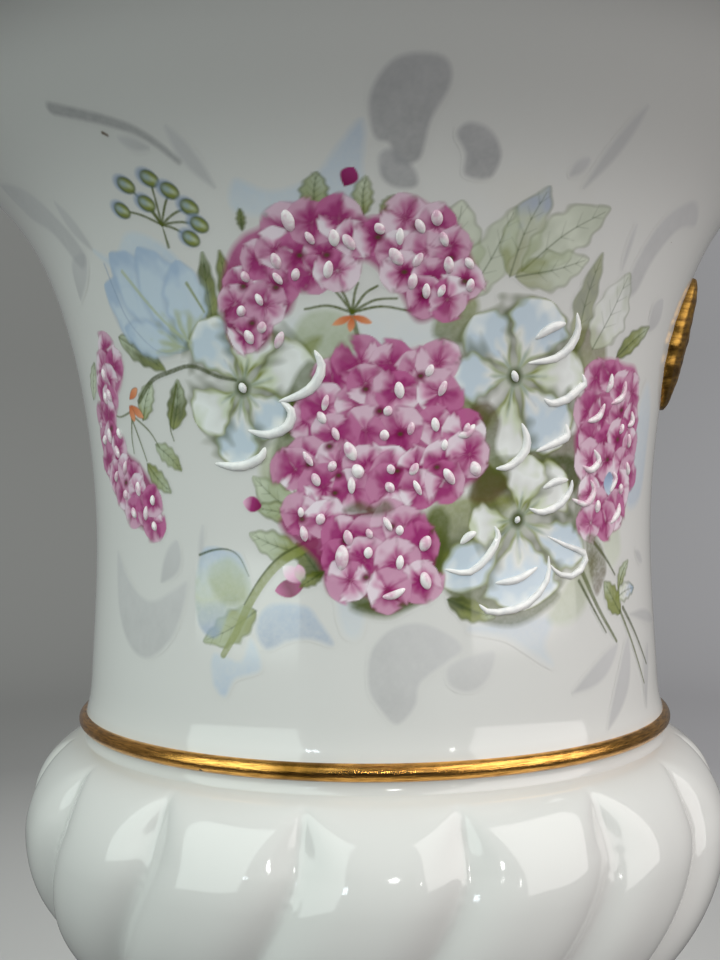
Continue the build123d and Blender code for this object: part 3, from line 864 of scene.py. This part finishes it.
def glaze_material(name, painted):
    material, add = new_material(name)
    place = add("ShaderNodeTexCoord").outputs["Object"]
    colour = glaze_colour(add, place)
    if painted:
        layer = add("ShaderNodeAttribute", attribute_name="paint", attribute_type="GEOMETRY")
        colour = mix(add, layer.outputs["Alpha"], colour, layer.outputs["Color"])
    bump = add(
        "ShaderNodeBump",
        {"Height": noise(add, place, 38.0, 1.0), "Strength": 0.5, "Distance": 0.00012},
    )
    shader = add(
        "ShaderNodeBsdfPrincipled",
        {
            "Base Color": colour,
            "Roughness": 0.07,
            "IOR": 1.56,
            "Normal": bump.outputs["Normal"],
        },
    )
    add("ShaderNodeOutputMaterial", {"Surface": shader.outputs["BSDF"]})
    return material


def enamel_material(name, tinge, white):
    """Glossy white enamel that lets some of the colour below it through."""
    material, add = new_material(name)
    place = add("ShaderNodeTexCoord").outputs["Object"]
    colour = ramp(add, noise(add, place, 520.0), [(0.36, tinge), (0.60, white)])
    shader = add("ShaderNodeBsdfPrincipled", {"Base Color": colour, "Roughness": 0.07, "IOR": 1.55})
    add("ShaderNodeOutputMaterial", {"Surface": shader.outputs["BSDF"]})
    return material


def gold_material(name, bright, dark, rough, streak):
    """Fired gold, brushed round the axis, with brown worn patches and pinholes."""
    material, add = new_material(name)
    place = add("ShaderNodeTexCoord").outputs["Object"]
    brushed = add("ShaderNodeMapping", {"Vector": place, "Scale": (60.0, 60.0, streak)})
    lines = noise(add, brushed.outputs["Vector"], 5.0, 6.0, 0.65)
    gold = ramp(add, lines, [(0.3, dark), (0.62, bright)])
    patches = ramp(add, noise(add, place, 55.0, 4.0), [(0.58, (0, 0, 0)), (0.74, (1, 1, 1))])
    worn = mix(add, patches, gold, (*[c * 0.72 for c in dark], 1))
    colour = mix(add, specks(add, place, 260.0, 0.10), worn, (0.05, 0.03, 0.01, 1))
    roughness = add("ShaderNodeMapRange", {"Value": lines, "To Min": rough * 0.8, "To Max": rough * 1.35})
    bump = add("ShaderNodeBump", {"Height": lines, "Strength": 0.35, "Distance": 0.00015})
    shader = add(
        "ShaderNodeBsdfPrincipled",
        {
            "Base Color": colour,
            "Metallic": 1.0,
            "Roughness": roughness.outputs["Result"],
            "Normal": bump.outputs["Normal"],
        },
    )
    add("ShaderNodeOutputMaterial", {"Surface": shader.outputs["BSDF"]})
    return material


def plain_material(name, first, second, scale, rough, metallic=0.0):
    """A two-tone material for cork and steel."""
    material, add = new_material(name)
    place = add("ShaderNodeTexCoord").outputs["Object"]
    grain = noise(add, place, scale, 6.0, 0.6)
    bump = add("ShaderNodeBump", {"Height": grain, "Strength": 0.3, "Distance": 0.0002})
    shader = add(
        "ShaderNodeBsdfPrincipled",
        {
            "Base Color": ramp(add, grain, [(0.35, first), (0.65, second)]),
            "Metallic": metallic,
            "Roughness": rough,
            "Normal": bump.outputs["Normal"],
        },
    )
    add("ShaderNodeOutputMaterial", {"Surface": shader.outputs["BSDF"]})
    return material


glaze = glaze_material("white_glaze", painted=False)
painted_glaze = glaze_material("painted_glaze", painted=True)
white_enamel = enamel_material("raised_white_enamel", (0.79, 0.80, 0.81), (0.92, 0.915, 0.905))
pink_enamel = enamel_material("pink_tinged_enamel", (0.74, 0.47, 0.60), (0.93, 0.89, 0.90))
gilding = gold_material("brushed_gilding", (0.98, 0.51, 0.13), (0.26, 0.12, 0.02), rough=0.13, streak=900.0)
# A rougher gold than the brushed gilding, and darker: partly a dull old gold, partly painted shade standing
# for the shadow on the palmettes' steep sides.
relief_gold_and_shade = gold_material(
    "relief_gilding_and_painted_shade", (0.46, 0.26, 0.055), (0.12, 0.055, 0.012), rough=0.36, streak=260.0
)
cork = plain_material("cork", (0.22, 0.13, 0.07), (0.48, 0.32, 0.18), 900.0, 0.9)
steel = plain_material("zinc_plate", (0.42, 0.42, 0.44), (0.60, 0.60, 0.62), 500.0, 0.35, metallic=1.0)


def finish_node(name, material):
    data = nodes[name].data
    data.materials.clear()
    data.materials.append(material)
    data.polygons.foreach_set("material_index", [0] * len(data.polygons))


body = make_body()
body.data.materials.append(glaze)
for name in ("foot", "plinth"):
    finish_node(name, glaze)
for name in ("waist_bead", "stem_bead", "foot_hoop"):
    finish_node(name, gilding)
for name, side in (("left_palmette", -1), ("right_palmette", 1)):
    make_palmette(name, side).data.materials.append(relief_gold_and_shade)
for name in ("seat_gasket", "upper_gasket", "lower_gasket"):
    finish_node(name, cork)
for name in ("tie_bolt", "nut", "upper_washer", "lower_washer"):
    finish_node(name, steel)


# ---------------------------------------------------------------- painted skins
def painted_skin(name, columns, rows):
    """One sheet of the transfer, a hair off the glaze, with only its printed part kept."""
    s, h = np.meshgrid(s_line[columns], h_line[rows])
    ink = ink_layer[rows, columns]
    points = on_bell(s, h, 0.04)
    count = s.shape[1]
    inked = ink > 0.004
    kept = inked[:-1, :-1] | inked[1:, :-1] | inked[:-1, 1:] | inked[1:, 1:]
    i, j = np.nonzero(kept)
    corner = i * count + j
    quads = np.stack([corner, corner + 1, corner + count + 1, corner + count], axis=1)
    used, quads = np.unique(quads, return_inverse=True)
    skin = mesh_piece(name, points.reshape(-1, 3)[used], quads.reshape(-1, 4).tolist())
    layer = skin.data.color_attributes.new("paint", "FLOAT_COLOR", "POINT")
    rgb = rgb_layer[rows, columns].reshape(-1, 3)[used]
    rgba = np.concatenate([rgb, ink.reshape(-1, 1)[used]], axis=1)
    layer.data.foreach_set("color", rgba.astype(np.float32).ravel())
    skin.data.materials.append(painted_glaze)
    return skin


column_cuts = np.linspace(0, len(s_line) - 1, 4).astype(int)
row_cuts = np.linspace(0, len(h_line) - 1, 3).astype(int)
for j, side in enumerate(("left", "middle", "right")):
    for i, level in enumerate(("lower", "upper")):
        columns = slice(column_cuts[j], column_cuts[j + 1] + 1)
        rows = slice(row_cuts[i], row_cuts[i + 1] + 1)
        painted_skin(f"transfer_{level}_{side}", columns, rows)


# ---------------------------------------------------------------- raised enamel
def enamel_drop(line, width, height, blunt=0.5):
    """Points and faces of one raised stroke along a line in painting coordinates."""
    line = curve_points(line, 8)
    sides, rings = 10, 11
    at = (1 - np.cos(np.linspace(0.06, 1, rings, endpoint=False) * pi)) / 2
    place = at * (len(line) - 1)
    low = np.minimum(place.astype(int), len(line) - 2)
    middle = line[low] + (line[low + 1] - line[low]) * (place - low)[:, None]
    along = np.gradient(line, axis=0)[low]
    along /= np.linalg.norm(along, axis=1)[:, None]
    swell = np.sin(pi * at) ** blunt
    turn = np.arange(sides) * 2 * pi / sides
    across = np.cos(turn)[None, :] * swell[:, None] * width / 2
    s = middle[:, :1] - along[:, 1:] * across
    h = middle[:, 1:] + along[:, :1] * across
    rise = np.sin(turn)[None, :] * swell[:, None] * height
    points = on_bell(s, h, np.where(rise > 0, rise, rise * 0.3))
    ends = on_bell(line[[0, -1], 0], line[[0, -1], 1], 0.02)
    faces = ring_faces(rings, sides, False)
    first, last = rings * sides, rings * sides + 1
    top = (rings - 1) * sides
    for k in range(sides):
        faces.append((first, (k + 1) % sides, k))
        faces.append((last, top + k, top + (k + 1) % sides))
    return np.vstack([points.reshape(-1, 3), ends]), faces


def enamel_piece(name, coating, drops):
    """One piece of many drops: each is its line, width and height."""
    points, faces, count = [], [], 0
    for line, width, height in drops:
        drop_points, drop_faces = enamel_drop(line, width, height)
        points.append(drop_points)
        faces += [tuple(index + count for index in face) for face in drop_faces]
        count += len(drop_points)
    piece = mesh_piece(name, np.vstack(points), faces)
    piece.data.materials.append(coating)
    return piece


dot_random = np.random.RandomState(5)


def dots(places, length=2.3, width=1.55, height=0.55):
    """Short drops at these places, each leaning a little its own way."""
    made = []
    for x, y in places:
        lean = radians(dot_random.uniform(60, 125))
        reach = length / 2 * dot_random.uniform(0.75, 1.3)
        dx, dy = reach * cos(lean), reach * sin(lean)
        line = [(x - dx, y - dy), (x, y), (x + dx, y + dy)]
        made.append((line, width * dot_random.uniform(0.75, 1.15), height))
    return made


def arcs(lines, width=1.5, height=0.6):
    return [(line, width, height) for line in lines]


enamel_piece(
    "enamel_central_head",
    pink_enamel,
    dots([(-7.8, 62.9), (-8.5, 60.4), (-6.2, 57.6), (2.7, 61.4), (2.1, 57.3), (6.6, 58.4), (10.8, 59.1),
          (16.4, 58.4), (12.5, 55.6), (-11.1, 53.4), (-6.9, 52.1), (3.2, 51.5), (7.2, 51.5), (3, 48.4),
          (7.8, 48.3), (-3.6, 48.8), (-9.8, 49.8), (-12.6, 44.2), (-9.1, 43), (-12.1, 40.5), (-4.3, 39.8),
          (2.6, 42.1), (4.7, 41), (-0.6, 40.5), (-0.8, 37.2), (4.7, 35.5), (4.6, 64.9), (11.9, 65.2),
          (9.6, 68.2)])
    + dots([(13.4, 50.2), (18.2, 51.5), (-3.7, 54.6), (-2.5, 51.2), (-5.4, 36.4), (9.2, 38.7), (9.2, 32.3)],
           3.4, 2.3, 0.75)
    + arcs([[(1.6, 29.6), (3.6, 29.9), (5.6, 31.0)], [(14.8, 57.2), (16.6, 57.6), (17.8, 59.2)]]),
)
enamel_piece(
    "enamel_upper_head",
    pink_enamel,
    dots([(-12, 92.5), (-9, 89.7), (-5.4, 89.6), (-3.2, 88.9), (-14.5, 86.4), (-14.5, 83.6), (-11.6, 84.1),
          (-19.8, 84.2), (-17.9, 80.4), (-21.2, 78.7), (-17.9, 75.8), (-20.3, 74.3), (-15.1, 73.6),
          (-6.5, 84.7), (1.3, 90.9), (4.3, 89.7), (7.1, 86.1), (7.2, 91.3), (9.6, 92.6), (10.9, 89.4),
          (11.9, 85.4), (15.1, 85.8), (15.6, 82.3), (8.6, 81.2), (11, 81.3), (6.4, 82.7)], 2.4, 1.6)
    + dots([(3.8, 86.6), (-12, 92.5)], 3.0, 2.0),
)
enamel_piece(
    "enamel_right_head",
    pink_enamel,
    dots([(56.5, 56.8), (57, 51.5), (54.5, 47.7), (53, 59), (46.5, 44.5)], 2.6, 1.7)
    + arcs([[(47.5, 69), (47.4, 67), (46.5, 65.5)], [(52.5, 68), (52, 65), (48.5, 63.5)],
            [(46.5, 63.5), (45, 61), (42, 60)], [(56.5, 62.5), (57, 60.5), (55.5, 59.5)],
            [(44.5, 55), (46.2, 53), (44, 51.2), (41.5, 52)], [(51, 51), (52, 49.5), (50.5, 47)],
            [(44, 49.5), (45.2, 47.5), (43, 45), (39, 46)], [(54.3, 45), (53.5, 43), (51, 41.2)]], 1.5, 0.6),
)
enamel_piece(
    "enamel_left_head",
    pink_enamel,
    dots([(-57.5, 70.2), (-56.8, 66.3), (-58.5, 65.8), (-59.2, 58.6), (-62, 57.9), (-56.5, 55.4),
          (-53.8, 52.3), (-57.8, 50.7), (-54.3, 47.2), (-49.5, 48.3), (-51.5, 43.8), (-47.3, 43.8),
          (-44.8, 41.4), (-45, 46.2), (-54.8, 58.9)], 2.4, 1.6),
)
enamel_piece(
    "enamel_left_flower",
    white_enamel,
    arcs([[(-9.3, 71.8), (-8.2, 69), (-9.5, 66), (-12, 64.3), (-16, 63.2)],
          [(-15.5, 63.3), (-13.7, 61.5), (-14.5, 59), (-18, 57.6), (-22, 58.5)],
          [(-18.7, 55.5), (-20, 53.5), (-24, 52.2), (-29, 52.8)]], 1.9, 0.6)
    + dots([(-22.3, 65.8)], 1.8, 1.5, 0.5),
)
enamel_piece(
    "enamel_right_flower",
    white_enamel,
    arcs([[(36, 79), (36.8, 76), (35.5, 73), (32.5, 70.8), (27, 69.8)], [(28, 74), (31, 76), (34, 77)],
          [(39.3, 68.5), (40.2, 66.8), (39, 66), (36.5, 64), (33, 63), (31, 63.8)],
          [(36.5, 59.5), (37, 57.5), (35.5, 56.5), (30, 54.5)],
          [(26.8, 59.5), (28, 57), (27.8, 54.5), (25, 52), (22, 51.5)]], 1.8, 0.6)
    + dots([(24.8, 67.5)], 1.9, 1.6, 0.5),
)
enamel_piece(
    "enamel_lower_flower",
    white_enamel,
    arcs([[(39, 49.5), (38.5, 47.5), (36, 45), (32, 43.7), (29, 44.5)], [(32, 48), (35, 49.2), (38, 49.5)],
          [(33, 39.5), (38, 37.5), (41.5, 36.5), (43, 35.5), (42, 33.5), (39.5, 32), (36, 32.5),
           (33.5, 34.5)],
          [(33.5, 36), (33.2, 32), (30, 28.5), (26, 26.8), (21, 26.5), (18.8, 28)],
          [(22, 31.5), (26.5, 32), (31, 34)],
          [(22, 41.5), (22.7, 39.5), (20.5, 36), (17, 33.5), (12.5, 34.2)],
          [(15.5, 38.5), (17, 39.8), (18.5, 40.5)]], 1.5, 0.6)
    + dots([(26.6, 42.5)], 1.3, 1.1, 0.4),
)


# ---------------------------------------------------------------- studio
aim = Vector((0.0, 0.0, 0.19))


def seen_from(azimuth, elevation, distance):
    """A point round the aim, where azimuth counts from the camera's side towards +X. Metres."""
    a, e = radians(camera_azimuth + azimuth), radians(elevation)
    return aim + distance * Vector((sin(a) * cos(e), -cos(a) * cos(e), sin(e)))


def softbox(name, azimuth, elevation, distance, width, height, radiance, colour, shape="RECTANGLE"):
    light = bpy.data.lights.new(name, "AREA")
    light.shape = shape
    light.size, light.size_y = width, height
    light.energy = radiance * pi * width * height
    light.color = colour
    lamp = bpy.data.objects.new(name, light)
    bpy.context.scene.collection.objects.link(lamp)
    lamp.location = seen_from(azimuth, elevation, distance)
    lamp.rotation_mode = "QUATERNION"
    lamp.rotation_quaternion = (aim - lamp.location).to_track_quat("-Z", "Y")


cool, warm = (0.88, 1.0, 0.94), (1.0, 0.965, 0.935)
# each softbox: azimuth and elevation in degrees, distance, width and height in metres, radiance, colour
softbox("left_window", -49, 28, 1.3, 1.2, 1.6, 2.05, cool)
softbox("right_window", 60, 28, 1.3, 1.3, 1.6, 2.3, warm)
softbox("top_box", 150, 70, 1.2, 0.7, 0.7, 1.6, (1.0, 1.0, 1.0))
softbox("small_lamp", 7, 19, 1.5, 0.11, 0.11, 38.0, (1.0, 1.0, 0.98), "DISK")
for k, across in enumerate((-1.1, 1.1)):
    softbox(f"far_pane_{k}", -22 + across * 1.2, 11, 1.5, 0.045, 0.10, 16.0, (0.80, 0.90, 1.0))
softbox("far_door", 28, 10, 1.5, 0.035, 0.10, 14.0, (1.0, 1.0, 0.96))

world = bpy.data.worlds.new("studio_air")
world.use_nodes = True
air = world.node_tree
height = air.nodes.new("ShaderNodeSeparateXYZ")
shade = air.nodes.new("ShaderNodeMapRange")
for key, value in {"From Min": -0.9, "From Max": 0.9, "To Min": 0.09, "To Max": 0.24}.items():
    shade.inputs[key].default_value = value
air.links.new(air.nodes.new("ShaderNodeTexCoord").outputs["Generated"], height.inputs[0])
air.links.new(height.outputs["Z"], shade.inputs["Value"])
air.links.new(shade.outputs["Result"], air.nodes["Background"].inputs["Strength"])
air.nodes["Background"].inputs["Color"].default_value = (1.0, 1.0, 1.0, 1.0)
bpy.context.scene.world = world

floor_radius, bend_radius, wall_top = 0.85, 0.35, 1.6


def make_sweep():
    """A pale round floor that curves up into a wall all round, with painted shade: darker away from the urn,
    and darker on the left wall than on the right.
    """
    profile = [(0.0005, 0.0)] + [(r, 0.0) for r in np.linspace(0.05, floor_radius, 16)]
    for k in range(1, 13):
        bend = pi / 2 * k / 12
        profile.append((floor_radius + bend_radius * sin(bend), bend_radius * (1 - cos(bend))))
    profile.append((floor_radius + bend_radius, wall_top))
    turn = np.arange(96) * 2 * pi / 96
    rings = [np.stack([r * np.sin(turn), -r * np.cos(turn), turn * 0 + z], axis=1) for r, z in profile]
    mesh = bpy.data.meshes.new("sweep")
    mesh.from_pydata(np.vstack(rings).tolist(), [], ring_faces(len(profile), 96, False))
    mesh.polygons.foreach_set("use_smooth", [True] * len(mesh.polygons))
    sweep = bpy.data.objects.new("sweep", mesh)
    bpy.context.scene.collection.objects.link(sweep)
    material, add = new_material("sweep_painted_shade")
    place = add("ShaderNodeTexCoord").outputs["Object"]
    away = add("ShaderNodeVectorMath", {0: place}, operation="LENGTH").outputs["Value"]
    # painted shade: the colour turns from the pale floor to the darker wall with distance from the urn
    share = add("ShaderNodeMapRange", {"Value": away, "From Min": 0.18, "From Max": 0.6}).outputs["Result"]
    across = add("ShaderNodeSeparateXYZ", {"Vector": place}).outputs["X"]
    side = add("ShaderNodeMapRange", {"Value": across, "From Min": -0.4, "From Max": 0.5}).outputs["Result"]
    # painted shade: the wall's colour is darker on the left than on the right
    wall_painted_shade = ramp(add, side, [(0.0, (0.285, 0.285, 0.28)), (1.0, (0.49, 0.475, 0.515))])
    colour = mix(add, share, (0.62, 0.62, 0.61, 1), wall_painted_shade)
    shader = add("ShaderNodeBsdfPrincipled", {"Base Color": colour, "Roughness": 0.9})
    add("ShaderNodeOutputMaterial", {"Surface": shader.outputs["BSDF"]})
    mesh.materials.append(material)
    sweep.visible_shadow = False
    sweep.visible_diffuse = False
    sweep.visible_glossy = False


make_sweep()


def make_dark_room():
    """A dark card behind the camera: the glaze and the gold reflect it, and nothing else sees it."""
    half_wide, half_high, distance = 0.72, 0.75, 1.7
    middle = seen_from(0, 2, distance)
    across = Vector((cos(radians(camera_azimuth)), sin(radians(camera_azimuth)), 0.0)) * half_wide
    up = Vector((0.0, 0.0, half_high))
    corners = [middle - across - up, middle + across - up, middle + across + up, middle - across + up]
    mesh = bpy.data.meshes.new("dark_room")
    mesh.from_pydata([tuple(corner) for corner in corners], [], [(0, 1, 2, 3)])
    card = bpy.data.objects.new("dark_room", mesh)
    bpy.context.scene.collection.objects.link(card)
    material, add = new_material("dark_room_cloth")
    shader = add("ShaderNodeBsdfPrincipled", {"Base Color": (0.03, 0.03, 0.03, 1), "Roughness": 1.0})
    add("ShaderNodeOutputMaterial", {"Surface": shader.outputs["BSDF"]})
    mesh.materials.append(material)
    card.visible_shadow = False
    card.visible_diffuse = False
    card.visible_camera = False


make_dark_room()

# ---------------------------------------------------------------- camera, where the photographer stood
camera_distance = 0.2592
camera_height = (bead_z + 49.7) * MM
look_left, lean_right = radians(0.61), radians(0.4)
camera_data = bpy.data.cameras.new("camera")
camera_data.lens = 43.5
camera_data.sensor_width = 36.0
camera_data.clip_start = 0.01
camera = bpy.data.objects.new("camera", camera_data)
bpy.context.scene.collection.objects.link(camera)
a = radians(camera_azimuth)
camera.location = (camera_distance * sin(a), -camera_distance * cos(a), camera_height)
heading = Vector((-sin(a), cos(a), 0.0))
heading.rotate(Quaternion((0, 0, 1), look_left))
camera.rotation_mode = "QUATERNION"
camera.rotation_quaternion = heading.to_track_quat("-Z", "Y") @ Quaternion((0, 0, 1), -lean_right)
bpy.context.scene.camera = camera
bpy.context.scene.view_settings.view_transform = "Standard"
